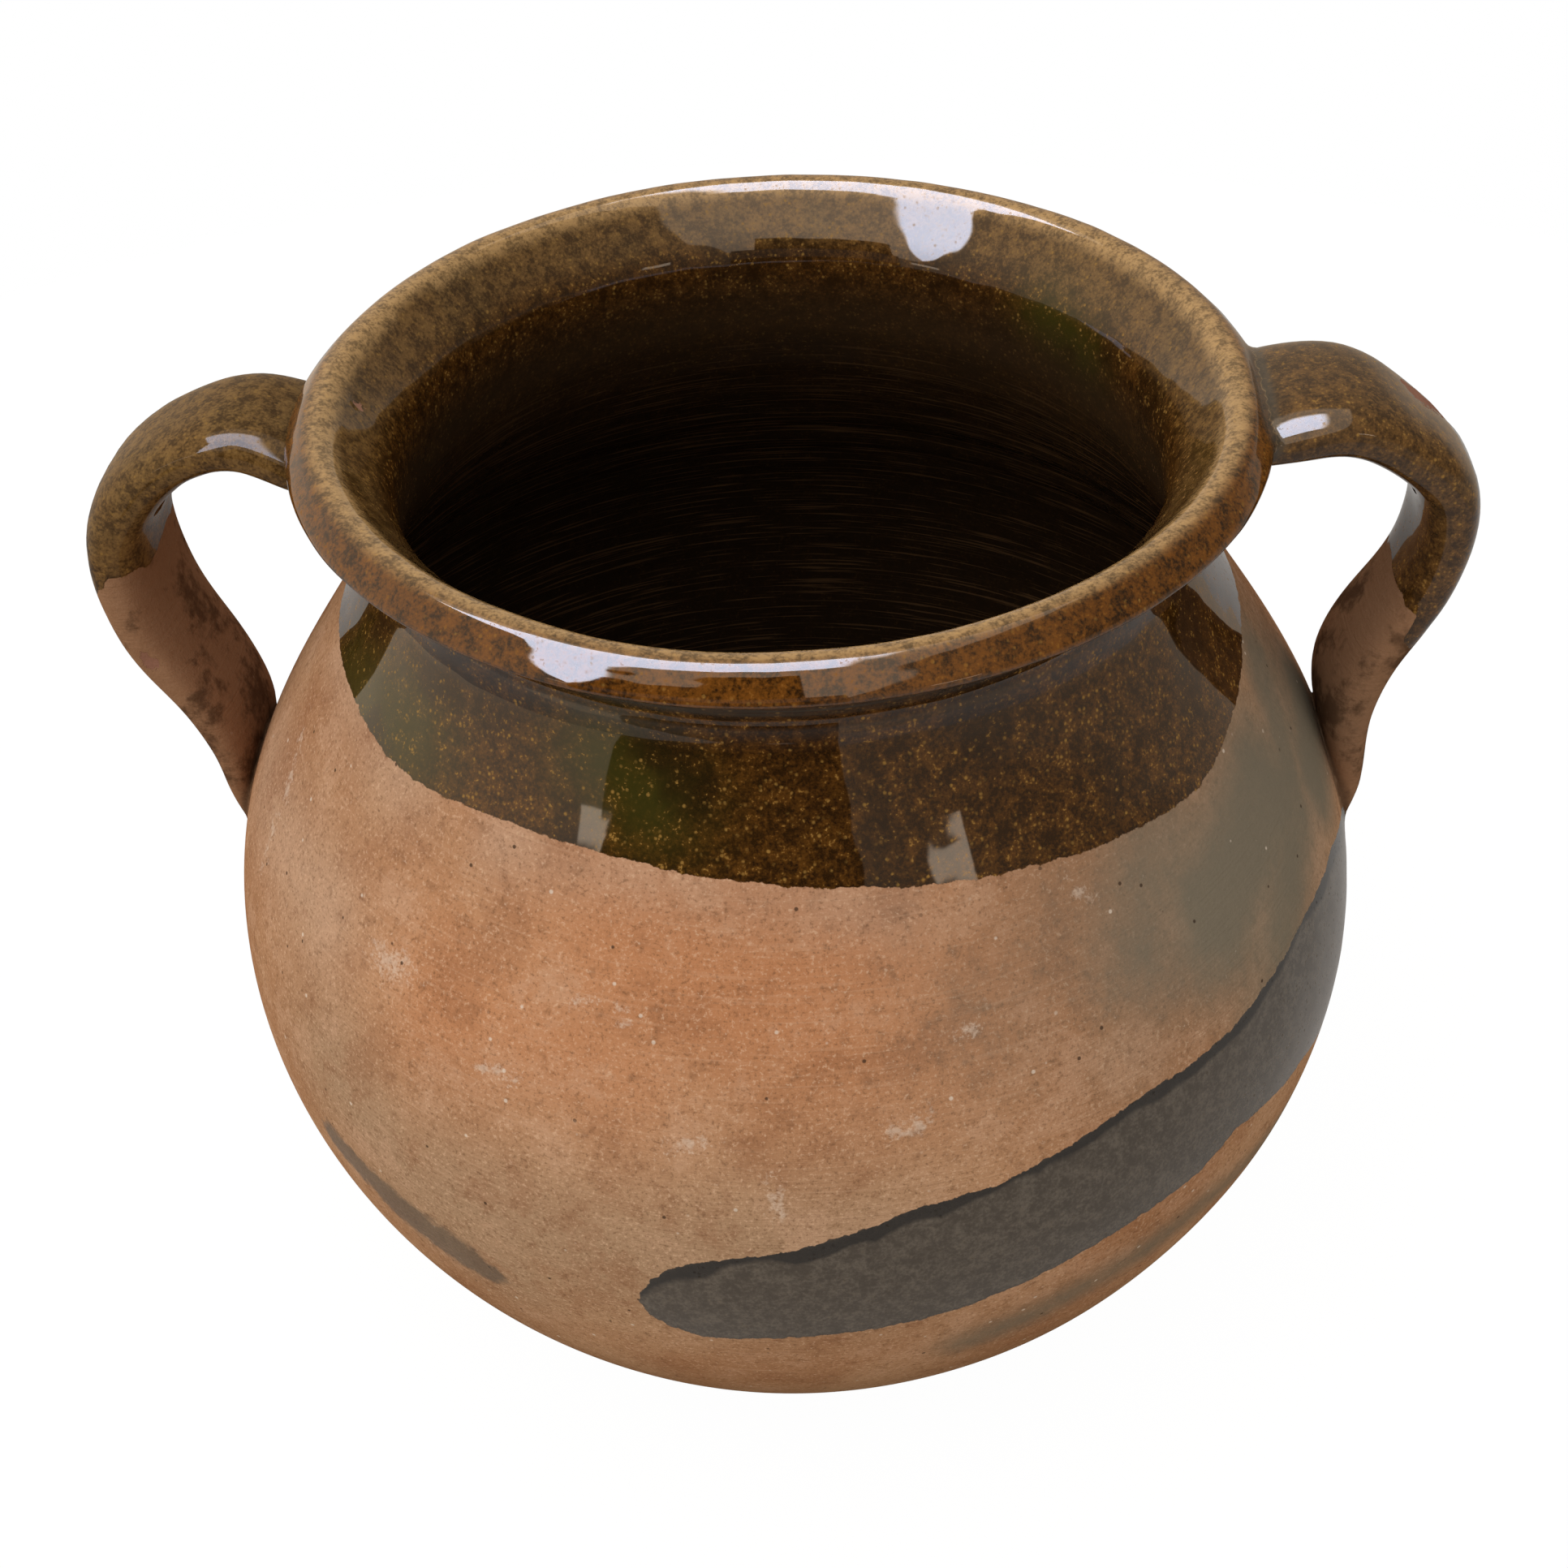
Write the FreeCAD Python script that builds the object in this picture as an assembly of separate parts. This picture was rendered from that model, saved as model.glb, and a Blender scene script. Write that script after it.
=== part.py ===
import FreeCAD, Part
import math
import os

# Two-handled globular cooking and storage pot, thrown in one thick wall, millimetres.
# The axis of the pot is Z, the origin is the middle of its flat base, the handles lie
# along X, and the front is towards -Y.

# Body, outside: rings named from the base up. The belly and the neck carry their own
# sizes, and the rings beside each one are given from it.
base_radius = 77.5
foot_round = 5.0
foot_lean_deg = 44.0
belly_radius = 126.6
belly_height = 94.5
heel_inset = 19.2
heel_height = 33.0
shoulder_inset = 5.1
shoulder_rise = 30.5
neck_radius = 81.5
neck_height = 199.1
collar_out = 2.8
collar_drop = 9.7

# Lip, from the neck ring: it flares out, its nose is the widest ring, its crest the top.
underlip_out = 7.5
underlip_rise = 13.9
nose_out = 14.3
nose_rise = 18.1
crest_out = 7.3
crest_rise = 22.9

# Inside: the wall, the narrowest ring of the throat from the neck ring, and the floor.
wall = 6.0
floor_thickness = 8.5
floor_corner = 14.0
throat_inset = 4.8
throat_rise = 4.4
flare_inset = 3.6
flare_drop = 2.6
wall_rings = 10

# Handles: straps pulled by hand, so each one has its own bend and its own widths.
# turn_deg turns a handle about Z, towards the back of the pot where it is positive.
# arch holds the free part as (out from the lip's nose, below the nose).
# shank holds the lower part as (off the wall, below the nose); a negative first
# number is inside the wall, where the strap is pressed on and thins out.
# Both ends run on through the wall, and what passes into the hollow is cut away.
root_depth = 21.0
root_drop = 8.8
left_turn_deg = 2.0
left_arch = [(8.5, 5.4), (26.0, 8.6), (41.0, 23.6)]
left_shank = [(37.0, 49.4), (14.0, 73.8), (0.6, 98.0), (-10.0, 122.0)]
left_widths = [34.0, 29.0, 30.5, 26.0, 22.0]
right_turn_deg = -5.1
right_arch = [(8.0, 4.6), (24.5, 6.6), (36.4, 18.5)]
right_shank = [(30.6, 46.8), (8.6, 70.8), (0.0, 94.0), (-10.0, 118.0)]
right_widths = [36.0, 29.4, 28.2, 26.0, 22.0]
strap_thicknesses = [10.0, 11.2, 11.0, 9.5, 7.0]
section_count = 12
section_points = 12
section_squareness = 0.72

underlip_radius = neck_radius + underlip_out
underlip_height = neck_height + underlip_rise
nose_radius = neck_radius + nose_out
nose_height = neck_height + nose_rise
crest_radius = neck_radius + crest_out
crest_height = neck_height + crest_rise
throat_radius = neck_radius - throat_inset
throat_height = neck_height + throat_rise


def interpolated(points, start_tangent=None, end_tangent=None):
    """A smooth curve through (radius, height) points in the XZ plane."""
    curve = Part.BSplineCurve()
    vectors = [FreeCAD.Vector(r, 0, z) for r, z in points]
    if start_tangent is None:
        curve.interpolate(vectors)
        return curve
    curve.interpolate(
        Points=vectors,
        InitialTangent=FreeCAD.Vector(start_tangent[0], 0, start_tangent[1]),
        FinalTangent=FreeCAD.Vector(end_tangent[0], 0, end_tangent[1]),
    )
    return curve


def outer_wall_points():
    """Rings that the outside of the wall passes through, from foot to neck."""
    lean = math.radians(foot_lean_deg)
    foot = (base_radius + foot_round * math.sin(lean), foot_round * (1 - math.cos(lean)))
    return [
        foot,
        (belly_radius - heel_inset, heel_height),
        (belly_radius, belly_height),
        (belly_radius - shoulder_inset, belly_height + shoulder_rise),
        (neck_radius + collar_out, neck_height - collar_drop),
        (neck_radius, neck_height),
    ]


def outer_wall_curve():
    lean = math.radians(foot_lean_deg)
    return interpolated(outer_wall_points(), (math.cos(lean), math.sin(lean)), (0, 1))


def inner_wall_rings():
    """The outside set in by the wall, as (ring, upward direction) from foot to neck."""
    outer = outer_wall_curve()
    first, last = outer.FirstParameter, outer.LastParameter
    rings = []
    for index in range(1, wall_rings):
        place = first + (last - first) * index / wall_rings
        ring, along = outer.value(place), outer.tangent(place)[0]
        rings.append(((ring.x - wall * along.z, ring.z + wall * along.x), along))
    return rings


def inner_wall_curve():
    """The inside from the throat down to the lowest of its rings."""
    rings = inner_wall_rings()
    along = rings[0][1]
    points = [(throat_radius, throat_height)] + [ring for ring, _ in reversed(rings)]
    return interpolated(points, (0, -1), (-along.x, -along.z))


def floor_corner_curve():
    """The rounded corner between the inside wall and the floor."""
    (radius, height), along = inner_wall_rings()[0]
    corner_radius = radius - (height - floor_thickness) * along.x / along.z
    corner = Part.BezierCurve()
    corner.setPoles([
        FreeCAD.Vector(radius, 0, height),
        FreeCAD.Vector(corner_radius, 0, floor_thickness),
        FreeCAD.Vector(corner_radius - floor_corner, 0, floor_thickness),
    ])
    return corner


def outside_curves():
    """The outside from the flat base to the crest of the lip, in order."""
    lean = math.radians(foot_lean_deg)
    foot_middle = FreeCAD.Vector(
        base_radius + foot_round * math.sin(lean / 2), 0,
        foot_round * (1 - math.cos(lean / 2)))
    foot_end = outer_wall_points()[0]
    run = underlip_radius - neck_radius
    rise = underlip_height - neck_height
    turn = 2 * math.atan2(run, rise)
    under_radius = (run ** 2 + rise ** 2) / (2 * run)
    under_middle = FreeCAD.Vector(
        neck_radius + under_radius * (1 - math.cos(turn / 2)), 0,
        neck_height + under_radius * math.sin(turn / 2))
    base = FreeCAD.Vector(base_radius, 0, 0)
    foot = FreeCAD.Vector(foot_end[0], 0, foot_end[1])
    neck = FreeCAD.Vector(neck_radius, 0, neck_height)
    underlip = FreeCAD.Vector(underlip_radius, 0, underlip_height)
    lip = interpolated(
        [(underlip_radius, underlip_height), (nose_radius, nose_height), (crest_radius, crest_height)],
        (math.sin(turn), math.cos(turn)), (-1, 0))
    return [
        Part.Arc(base, foot_middle, foot).toShape(),
        outer_wall_curve().toShape(),
        Part.Arc(neck, under_middle, underlip).toShape(),
        lip.toShape(),
    ]


def inside_curves():
    """The inside from the crest of the lip down to the floor, in order."""
    flare = interpolated(
        [(crest_radius, crest_height),
         (crest_radius - flare_inset, crest_height - flare_drop),
         (throat_radius, throat_height)],
        (-1, 0), (0, -1))
    return [flare.toShape(), inner_wall_curve().toShape(), floor_corner_curve().toShape()]


def outside_solid():
    """The pot as if it were clay right through."""
    crest = FreeCAD.Vector(crest_radius, 0, crest_height)
    top = FreeCAD.Vector(0, 0, crest_height)
    origin = FreeCAD.Vector(0, 0, 0)
    base = FreeCAD.Vector(base_radius, 0, 0)
    edges = outside_curves()
    edges += [Part.makeLine(crest, top), Part.makeLine(top, origin), Part.makeLine(origin, base)]
    return turned(Part.Face(Part.Wire(edges)))


def hollow():
    """What the pot can hold, from the floor to the crest, and the space over the crest."""
    floor = floor_corner_curve().EndPoint
    floor_middle = FreeCAD.Vector(0, 0, floor_thickness)
    over = crest_height + nose_height - throat_height
    over_middle = FreeCAD.Vector(0, 0, over)
    over_crest = FreeCAD.Vector(crest_radius, 0, over)
    crest = FreeCAD.Vector(crest_radius, 0, crest_height)
    edges = inside_curves()
    edges += [
        Part.makeLine(floor, floor_middle),
        Part.makeLine(floor_middle, over_middle),
        Part.makeLine(over_middle, over_crest),
        Part.makeLine(over_crest, crest),
    ]
    return turned(Part.Face(Part.Wire(edges)))


def turned(face):
    """The solid that a half section sweeps about the axis; it starts at the back."""
    axis = FreeCAD.Vector(0, 0, 1)
    section = face.copy()
    section.rotate(FreeCAD.Vector(0, 0, 0), axis, 90)
    return section.revolve(FreeCAD.Vector(0, 0, 0), axis, 360)


def wall_radius_at(height):
    """Outside radius of the wall at a height between foot and neck."""
    line = Part.makeLine(FreeCAD.Vector(0, 0, height), FreeCAD.Vector(2 * belly_radius, 0, height))
    gap, pairs, _ = outer_wall_curve().toShape().distToShape(line)
    return pairs[0][0].x


def between(values, share):
    """Value at a share from 0 to 1 along evenly spaced values, with no kinks."""
    curve = Part.BSplineCurve()
    curve.interpolate([FreeCAD.Vector(i, v, 0) for i, v in enumerate(values)])
    first, last = curve.FirstParameter, curve.LastParameter
    return curve.value(first + share * (last - first)).y


def strap_spine(arch, shank):
    """Middle line of a handle, from its root under the lip to its end on the belly."""
    points = [(nose_radius - root_depth, nose_height - root_drop)]
    points += [(nose_radius + out, nose_height - drop) for out, drop in arch]
    for off, drop in shank:
        height = nose_height - drop
        points.append((wall_radius_at(height) + off, height))
    return interpolated(points)


def strap_section(centre, across, normal, width, thickness):
    """A flat section with round edges, square to the middle line of the strap."""
    points = []
    for index in range(section_points):
        angle = 2 * math.pi * index / section_points
        side = math.copysign(abs(math.cos(angle)) ** section_squareness, math.cos(angle))
        face = math.copysign(abs(math.sin(angle)) ** section_squareness, math.sin(angle))
        points.append(centre + across * (side * width / 2) + normal * (face * thickness / 2))
    curve = Part.BSplineCurve()
    curve.interpolate(points, PeriodicFlag=True)
    return Part.Wire(curve.toShape())


def strap_handle(arch, shank, widths, direction_deg):
    """One handle: sections lofted along the middle line, turned to its side of the pot."""
    spine = strap_spine(arch, shank)
    first, last = spine.FirstParameter, spine.LastParameter
    across = FreeCAD.Vector(0, 1, 0)
    sections = []
    for index in range(section_count):
        share = index / (section_count - 1)
        place = first + share * (last - first)
        along = spine.tangent(place)[0]
        normal = FreeCAD.Vector(-along.z, 0, along.x)
        sections.append(strap_section(
            spine.value(place), across, normal,
            between(widths, share), between(strap_thicknesses, share)))
    strap = Part.makeLoft(sections, True, False)
    strap.rotate(FreeCAD.Vector(0, 0, 0), FreeCAD.Vector(0, 0, 1), direction_deg)
    return strap


def pot():
    body = outside_solid()
    left = strap_handle(left_arch, left_shank, left_widths, 180 - left_turn_deg)
    right = strap_handle(right_arch, right_shank, right_widths, right_turn_deg)
    return body.fuse([left, right]).cut(hollow())


os.makedirs("parts", exist_ok=True)
whole = pot()
if len(whole.Solids) != 1:
    raise ValueError("the pot should be one solid, not %d" % len(whole.Solids))
whole = whole.Solids[0]
whole.exportStep("parts/pot.step")
box = whole.BoundBox
print("pot", round(whole.Volume / 1000, 1), "cm3, valid", whole.isValid())
print("size", round(box.XLength, 1), round(box.YLength, 1), round(box.ZLength, 1))
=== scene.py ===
import math
from types import SimpleNamespace
import bpy
import numpy as np
from mathutils import Matrix, Vector, noise
from mathutils.bvhtree import BVHTree
from mathutils.kdtree import KDTree


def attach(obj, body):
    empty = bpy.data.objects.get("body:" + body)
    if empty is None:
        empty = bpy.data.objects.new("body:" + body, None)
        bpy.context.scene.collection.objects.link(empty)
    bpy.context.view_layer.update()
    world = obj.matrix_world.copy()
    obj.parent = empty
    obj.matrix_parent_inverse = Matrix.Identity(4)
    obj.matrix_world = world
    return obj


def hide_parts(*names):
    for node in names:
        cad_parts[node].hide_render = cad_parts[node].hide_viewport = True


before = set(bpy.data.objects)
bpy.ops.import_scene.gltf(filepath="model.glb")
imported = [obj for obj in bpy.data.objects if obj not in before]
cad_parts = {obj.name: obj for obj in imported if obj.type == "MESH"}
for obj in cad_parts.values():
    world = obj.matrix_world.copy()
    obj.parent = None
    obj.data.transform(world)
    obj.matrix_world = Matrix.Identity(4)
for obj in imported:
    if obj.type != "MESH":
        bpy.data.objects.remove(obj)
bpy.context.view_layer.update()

# A two-handled glazed cooking pot. Lengths of the shape are millimetres, the axis is Z,
# the handles lie along X and the front is towards -Y.
MM = 0.001

# The photograph: its width in pixels, and the camera that took it.
PHOTO_SIDE = 1932
PHOTO_FOCAL = 2400
SENSOR_MM = 36
CAMERA_PLACE = (0.0, -336.9, 412.5)
CAMERA_TURN = math.radians(0.304)
CAMERA_TILT = math.radians(48.56)
CAMERA_ROLL = math.radians(-2.375)
VIEW = (Matrix.Rotation(CAMERA_TURN, 3, "Z") @ Matrix.Rotation(CAMERA_TILT, 3, "X")
        @ Matrix.Rotation(CAMERA_ROLL, 3, "Z"))

# Body, outside: rings as (radius, height). The base is a little hollow in its middle.
BASE_RADIUS = 77.5
BASE_RINGS = (3, 12, 24, 38, 52, 62, 70, 75, BASE_RADIUS)
BASE_HOLLOW = 0.35
BASE_HOLLOW_RADIUS = 66
FOOT_ROUND = 5.0
FOOT_LEAN = math.radians(44)
WALL_RINGS = [(107.4, 33.0), (126.6, 94.5), (121.5, 125.0), (84.3, 189.4), (81.5, 199.1)]
UNDERLIP = (89.0, 213.0)
NOSE = [(94.3, 215.4), (95.7, 216.9), (95.1, 218.1), (93.1, 220.2), (91.5, 221.55), (90.3, 221.95)]
CREST = (88.8, 222.0)

# Body, inside.
FLARE = (85.2, 219.4)
THROAT = (76.7, 203.5)
WALL = 6.0
INSIDE_HEIGHTS = (22, 184)
INSIDE_EVERY = 6
INSIDE_LEAN = (-0.72, -0.69)
CORNER = (82.0, 12.2)
FLOOR = 8.5
FLOOR_RADIUS = 66.0
FLOOR_RINGS = (56, 44, 32, 20, 10, 3)

# How finely the mesh follows the section, and how many sides a ring has.
WALL_STEP = 2.4
INSIDE_STEP = 2.8
LIP_STEP = 0.55
FLARE_STEP = 1.3
CORNER_STEP = 3.2
UNDERLIP_STEPS = 18
AROUND = 320

# Marks of the potter's hands. Rings on the neck: height, half width, and how far out.
NECK_RINGS = [(197.6, 1.7, 0.35), (200.6, 1.1, -0.30), (193.6, 1.3, -0.22), (204.4, 1.0, 0.16),
              (208.2, 0.9, -0.20)]
# Rings inside: the lowest one's height, their pitch, number and depth, and a finer ripple.
FINGER_RINGS = (96, 10.2, 6, 0.45)
FINE_RIPPLE = (0.12, 1.9)
# Out of round: lobes, amount, where they start, and the height over which they twist.
WOBBLES = [(2, 0.28, 0.6, 60), (3, 0.16, 2.1, -37), (5, 0.10, 0.0, 21), (9, 0.05, 0.0, 9)]
# The rim rises and falls, sinks a little and is pulled out at the back right.
RIM_WAVES = [(2, 0.22, 1.0), (5, 0.12, 0.3), (11, 0.07, 0.0)]
RIM_HEIGHT = 219
RIM_REACH = 9
RIM_SUNK = 0.6
RIM_PULLED = 0.55

# Handles: the middle line as (radius, height), and width and thickness at each of its points.
LEFT_TURN = math.radians(175.6)
LEFT_LINE = [(74.8, 208.4), (93.8, 206.4), (105.3, 210.6), (119.6, 207.5), (134.6, 194.6),
             (135.6, 163.3), (124.8, 133.6), (124.4, 119.0), (120.6, 104.0)]
LEFT_WIDTHS = [36.6, 34.1, 30.9, 29.2, 32.2, 33.0, 30.8, 28.6, 24.0]
LEFT_THICKNESSES = [1.0, 11.7, 11.1, 10.2, 13.4, 12.3, 9.9, 6.6, 3.0]
RIGHT_TURN = math.radians(-4.1)
RIGHT_LINE = [(74.8, 208.4), (96.3, 214.8), (111.4, 215.2), (121.2, 209.8), (129.7, 202.0),
              (130.9, 176.6), (120.4, 148.8), (122.4, 125.0), (119.2, 106.0)]
RIGHT_WIDTHS = [38.1, 36.6, 33.5, 29.9, 27.9, 27.6, 28.3, 27.7, 24.0]
RIGHT_THICKNESSES = [1.0, 12.1, 11.9, 10.9, 12.4, 10.8, 12.0, 7.5, 3.0]
STRAP_START = 7.5
STRAP_STEP = 1.7
STRAP_AROUND = 44
STRAP_EASING = 12
SQUARENESS = 0.74
# The joints of handle and wall are smeared over with a thumb, more so at the foot.
SAME_PLACE = 0.01
JOINT_REACH = 2.2
JOINT_REACH_MORE = 3.8
JOINT_ROUNDS = 14
EASE_SHARE = 0.6
SHANK_TOP = 150

# Borders of the glaze on the outside, as pixels of the photograph.
SHOULDER_EDGE = [(418, 752), (417, 780), (424, 825), (440, 868), (470, 922), (510, 962),
                 (560, 988), (610, 1008), (680, 1034), (750, 1055), (820, 1072), (880, 1083),
                 (950, 1091), (1020, 1094), (1080, 1093), (1140, 1090), (1210, 1079),
                 (1280, 1063), (1340, 1046), (1390, 1025), (1435, 1000), (1472, 973),
                 (1492, 945), (1508, 905), (1520, 870), (1527, 838), (1530, 808), (1529, 780)]
RUN_UPPER = [(785, 1600), (798, 1580), (820, 1566), (850, 1558), (900, 1552), (960, 1545),
             (1020, 1531), (1080, 1510), (1130, 1488), (1180, 1474), (1230, 1458), (1280, 1432),
             (1330, 1402), (1380, 1366), (1430, 1332), (1480, 1298), (1520, 1262), (1555, 1215),
             (1582, 1175), (1605, 1130), (1625, 1090), (1640, 1045), (1652, 1010)]
RUN_LOWER = [(1642, 1235), (1630, 1262), (1605, 1302), (1580, 1338), (1552, 1365), (1520, 1392),
             (1480, 1440), (1430, 1480), (1380, 1514), (1330, 1545), (1280, 1572), (1210, 1603),
             (1140, 1625), (1060, 1640), (980, 1648), (920, 1650), (870, 1648), (830, 1636),
             (800, 1620)]
LEFT_GLAZE_END = (128, 716)
RIGHT_GLAZE_END = (1742, 757)
NECK_GROOVE = (900, 907)

# Where the camera doesn't see it, the run goes on to a round end: azimuth in degrees, and
# length along the section from the middle of the base.
RUN_BEHIND_UPPER = [(-5, 209), (6, 202), (20, 201), (31, 197), (38, 190)]
RUN_BEHIND_LOWER = [(38, 182), (32, 176), (18, 172), (4, 171), (-10, 174)]
# The border of the shoulder's glaze behind: shares of the way round, and its sag and swing.
BORDER_BEHIND = (0.12, 0.25, 0.38, 0.5, 0.62, 0.75, 0.88)
BORDER_SAG = 6
BORDER_SWING = 3.5
BORDER_SWINGS = 9
# Radii at which the belly is laid out flat, for the run and for the border's slope.
GIRTH = 118.0
SHOULDER_GIRTH = 105
STEPPED_RADIUS_HEIGHT = 212
LIP_GLAZE = 22
UNDERSIDE_GLAZE = 4.0

# Marks on the surface: each a stroke from one pixel of the photograph to another, with its
# half width in millimetres.
SMOKE = [(0.95, [(1600, 850, 1620, 960, 16), (1560, 980, 1500, 1120, 24)]),
         (0.85, [(1550, 810, 1590, 960, 13), (1600, 1000, 1570, 1150, 16)]),
         (0.72, [(1440, 1060, 1420, 1150, 26), (1590, 860, 1560, 1160, 26)]),
         (0.42, [(1320, 1110, 1240, 1240, 28), (1400, 1080, 1400, 1260, 26)]),
         (0.62, [(1190, 1652, 1330, 1588, 9), (1330, 1588, 1480, 1484, 9),
                 (1480, 1484, 1590, 1385, 8)])]
SCUFFS = [(468, 1178, 500, 1190, 4.2), (478, 1196, 486, 1200, 3.4), (352, 985, 372, 905, 2.0),
          (322, 1075, 340, 1010, 2.0), (762, 1250, 776, 1256, 2.2), (840, 1410, 866, 1408, 2.6),
          (700, 1236, 730, 1232, 1.4), (1180, 1272, 1200, 1268, 1.8),
          (1100, 1392, 1140, 1380, 2.4), (590, 1316, 640, 1326, 1.6),
          (1320, 1096, 1345, 1104, 1.8), (950, 1450, 962, 1500, 2.2)]
SMEARS = [(412, 1402, 482, 1475, 5.5), (482, 1478, 572, 1546, 7.4), (572, 1546, 604, 1568, 5.0)]
CHIPS = [(1745, 482, 1800, 512, 4.4), (180, 812, 190, 820, 2.0), (438, 494, 444, 500, 1.3)]
RED_CLAY = [(780, 1180, 1100, 1230, 34), (560, 1250, 760, 1330, 24)]
OCHRE_CLAY = [(560, 1480, 1050, 1560, 26), (420, 1330, 620, 1560, 20)]
OLIVE_GLAZE = [(745, 930, 800, 985, 11), (430, 840, 500, 900, 14), (1290, 400, 1330, 440, 10)]
PALE_CLAY = [(432, 800, 500, 950, 12), (330, 960, 400, 1120, 14), (620, 1040, 1100, 1120, 8)]
# The left handle's glaze is worn dull, and its upper part is lightened with a painted sheen.
LEFT_HANDLE_WEAR_AND_SHEEN = 0.65

# The glaze lies in slow waves, and a chip goes in by about half a millimetre.
WAVE_DEPTH = 0.22
WAVE_MIDDLE = 0.55
CHIP_DEPTH = 0.45

# Colours of clay, glaze and light as read off a picture, 0 to 255. Some colours of the pot are painted
# light and shade: the shade towards the bottom, in the joints and inside, and grey reflections on the
# neck, its groove and the run.
TONES = {
    "clay": (170, 121, 84), "light clay": (184, 138, 100), "red clay": (192, 126, 82),
    "ochre clay": (168, 134, 102), "pale clay": (182, 146, 118), "damp patch": (140, 88, 56),
    "dry patch": (200, 156, 122), "brown speckle": (128, 88, 60), "light grain": (220, 178, 142),
    "dark grain": (104, 72, 48), "turning line": (214, 170, 134), "painted low shade": (100, 82, 58),
    "smoke": (120, 109, 90), "scuff": (212, 182, 156), "pit": (58, 42, 32),
    "crumb": (222, 200, 176), "handle clay": (138, 100, 72), "handle stain": (52, 34, 22),
    "chip": (142, 98, 80), "smear": (84, 70, 52), "painted crease shade": (44, 30, 20),
    "deep amber": (46, 26, 7), "amber": (98, 60, 20), "olive": (58, 54, 16),
    "dark patch": (34, 19, 6), "fleck": (182, 136, 66), "clear amber": (116, 66, 18),
    "tan": (124, 92, 50), "lip edge": (190, 148, 94), "neck": (72, 66, 60),
    "neck groove": (104, 104, 102), "run": (68, 57, 45), "thin run with painted reflection": (98, 86, 72),
    "thick run": (26, 20, 15), "painted inner shade": (54, 39, 24), "deep inside": (34, 24, 15),
    "inside ring": (122, 88, 56), "pooled glaze": (66, 62, 52),
    "low sky": (255, 254, 250), "high sky": (238, 244, 255), "yard wall": (255, 232, 206),
    "open roof": (228, 234, 255),
}

# Surroundings, by direction: how bright they are, and where they begin and end.
SKY_LEVEL = 0.55
SKY_RISE = 0.46
SKY_LEFT = 0.09
BRIGHT_WAY = (-0.57, -0.40, 0.72)
BRIGHT_LEVEL = 1.35
YARD_LEVEL = 0.60
YARD_LEFT = 0.44
YARD_CORNER = 0.32
PANES = [(-1.06, 0.33, 0.14), (0.70, 0.37, 0.13)]
PANE_LEVEL = 4
ROOF_SIDES = (-0.80, 0.50)
ROOF_SLANT = 0.7
OPEN_SKY_LEVEL = 15
ROOF_WALL_LEVEL = 1.5

# Dark cards in front of the pot, in metres: the left, right, bottom and top of each one,
# and its level. They stand at a distance from the pot's axis.
CARD_DISTANCE = 0.43
DARK_CARDS = [("coat", -0.38, 0.09, 0.0, 0.32, 0.02), ("shirt", -0.38, 0.09, 0.32, 0.47, 0.20),
              ("head", -0.36, 0.03, 0.47, 0.66, 0.02)]
CARD_TINT = (1, 0.95, 0.9, 1)
FLOOR_DISC = 0.6
FLOOR_SIDES = 96
FLOOR_PAPER = (0.46, 0.42, 0.37, 1)
FLOOR_GLOW = 1.06
FLOOR_GLOW_SHARE = 0.92
WHITE = (1, 1, 1, 1)


def smooth_through(points, first_way=None, last_way=None):
    """An even curve through points: its length and a function from length to point."""
    p = np.array(points, float)
    knots = np.concatenate([[0], np.cumsum(np.linalg.norm(np.diff(p, axis=0), axis=1))])
    n, h = len(p), np.diff(knots)
    system, right = np.zeros((n, n)), np.zeros_like(p)
    for i in range(1, n - 1):
        system[i, i - 1] = 1 / h[i - 1]
        system[i, i] = 2 * (1 / h[i - 1] + 1 / h[i])
        system[i, i + 1] = 1 / h[i]
        right[i] = 3 * ((p[i] - p[i - 1]) / h[i - 1] ** 2 + (p[i + 1] - p[i]) / h[i] ** 2)
    for row, beside, way, rise in ((0, 1, first_way, (p[1] - p[0]) / h[0]),
                                   (n - 1, n - 2, last_way, (p[-1] - p[-2]) / h[-1])):
        if way is None:
            system[row, row], system[row, beside], right[row] = 2, 1, 3 * rise
        else:
            system[row, row], right[row] = 1, way
    slopes = np.linalg.solve(system, right)

    def at(length):
        length = np.asarray(length, float)
        i = np.clip(np.searchsorted(knots, length) - 1, 0, n - 2)
        u, step = ((length - knots[i]) / h[i])[..., None], h[i][..., None]
        return ((2 * u ** 3 - 3 * u ** 2 + 1) * p[i] + (u ** 3 - 2 * u ** 2 + u) * step * slopes[i]
                + (3 * u ** 2 - 2 * u ** 3) * p[i + 1] + (u ** 3 - u ** 2) * step * slopes[i + 1])

    return knots[-1], at


def sampled(curve, step):
    """Points along a curve, evenly spaced at about a step."""
    length, at = curve
    return at(np.linspace(0, length, max(2, round(length / step) + 1)))


def outward(points):
    """Directions square to a course of (radius, height) points, to its right."""
    along = np.gradient(points, axis=0)
    along /= np.linalg.norm(along, axis=1)[:, None]
    return np.stack([along[:, 1], -along[:, 0]], 1)


def underlip_arc():
    """The arc that flares out from the neck to the underlip, and its direction at the end."""
    neck = WALL_RINGS[-1]
    run, rise = UNDERLIP[0] - neck[0], UNDERLIP[1] - neck[1]
    turn = 2 * math.atan2(run, rise)
    radius = (run ** 2 + rise ** 2) / (2 * run)
    angles = np.linspace(0, turn, UNDERLIP_STEPS + 1)
    arc = np.stack([neck[0] + radius * (1 - np.cos(angles)),
                    neck[1] + radius * np.sin(angles)], 1)
    return arc, (math.sin(turn), math.cos(turn))


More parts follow.
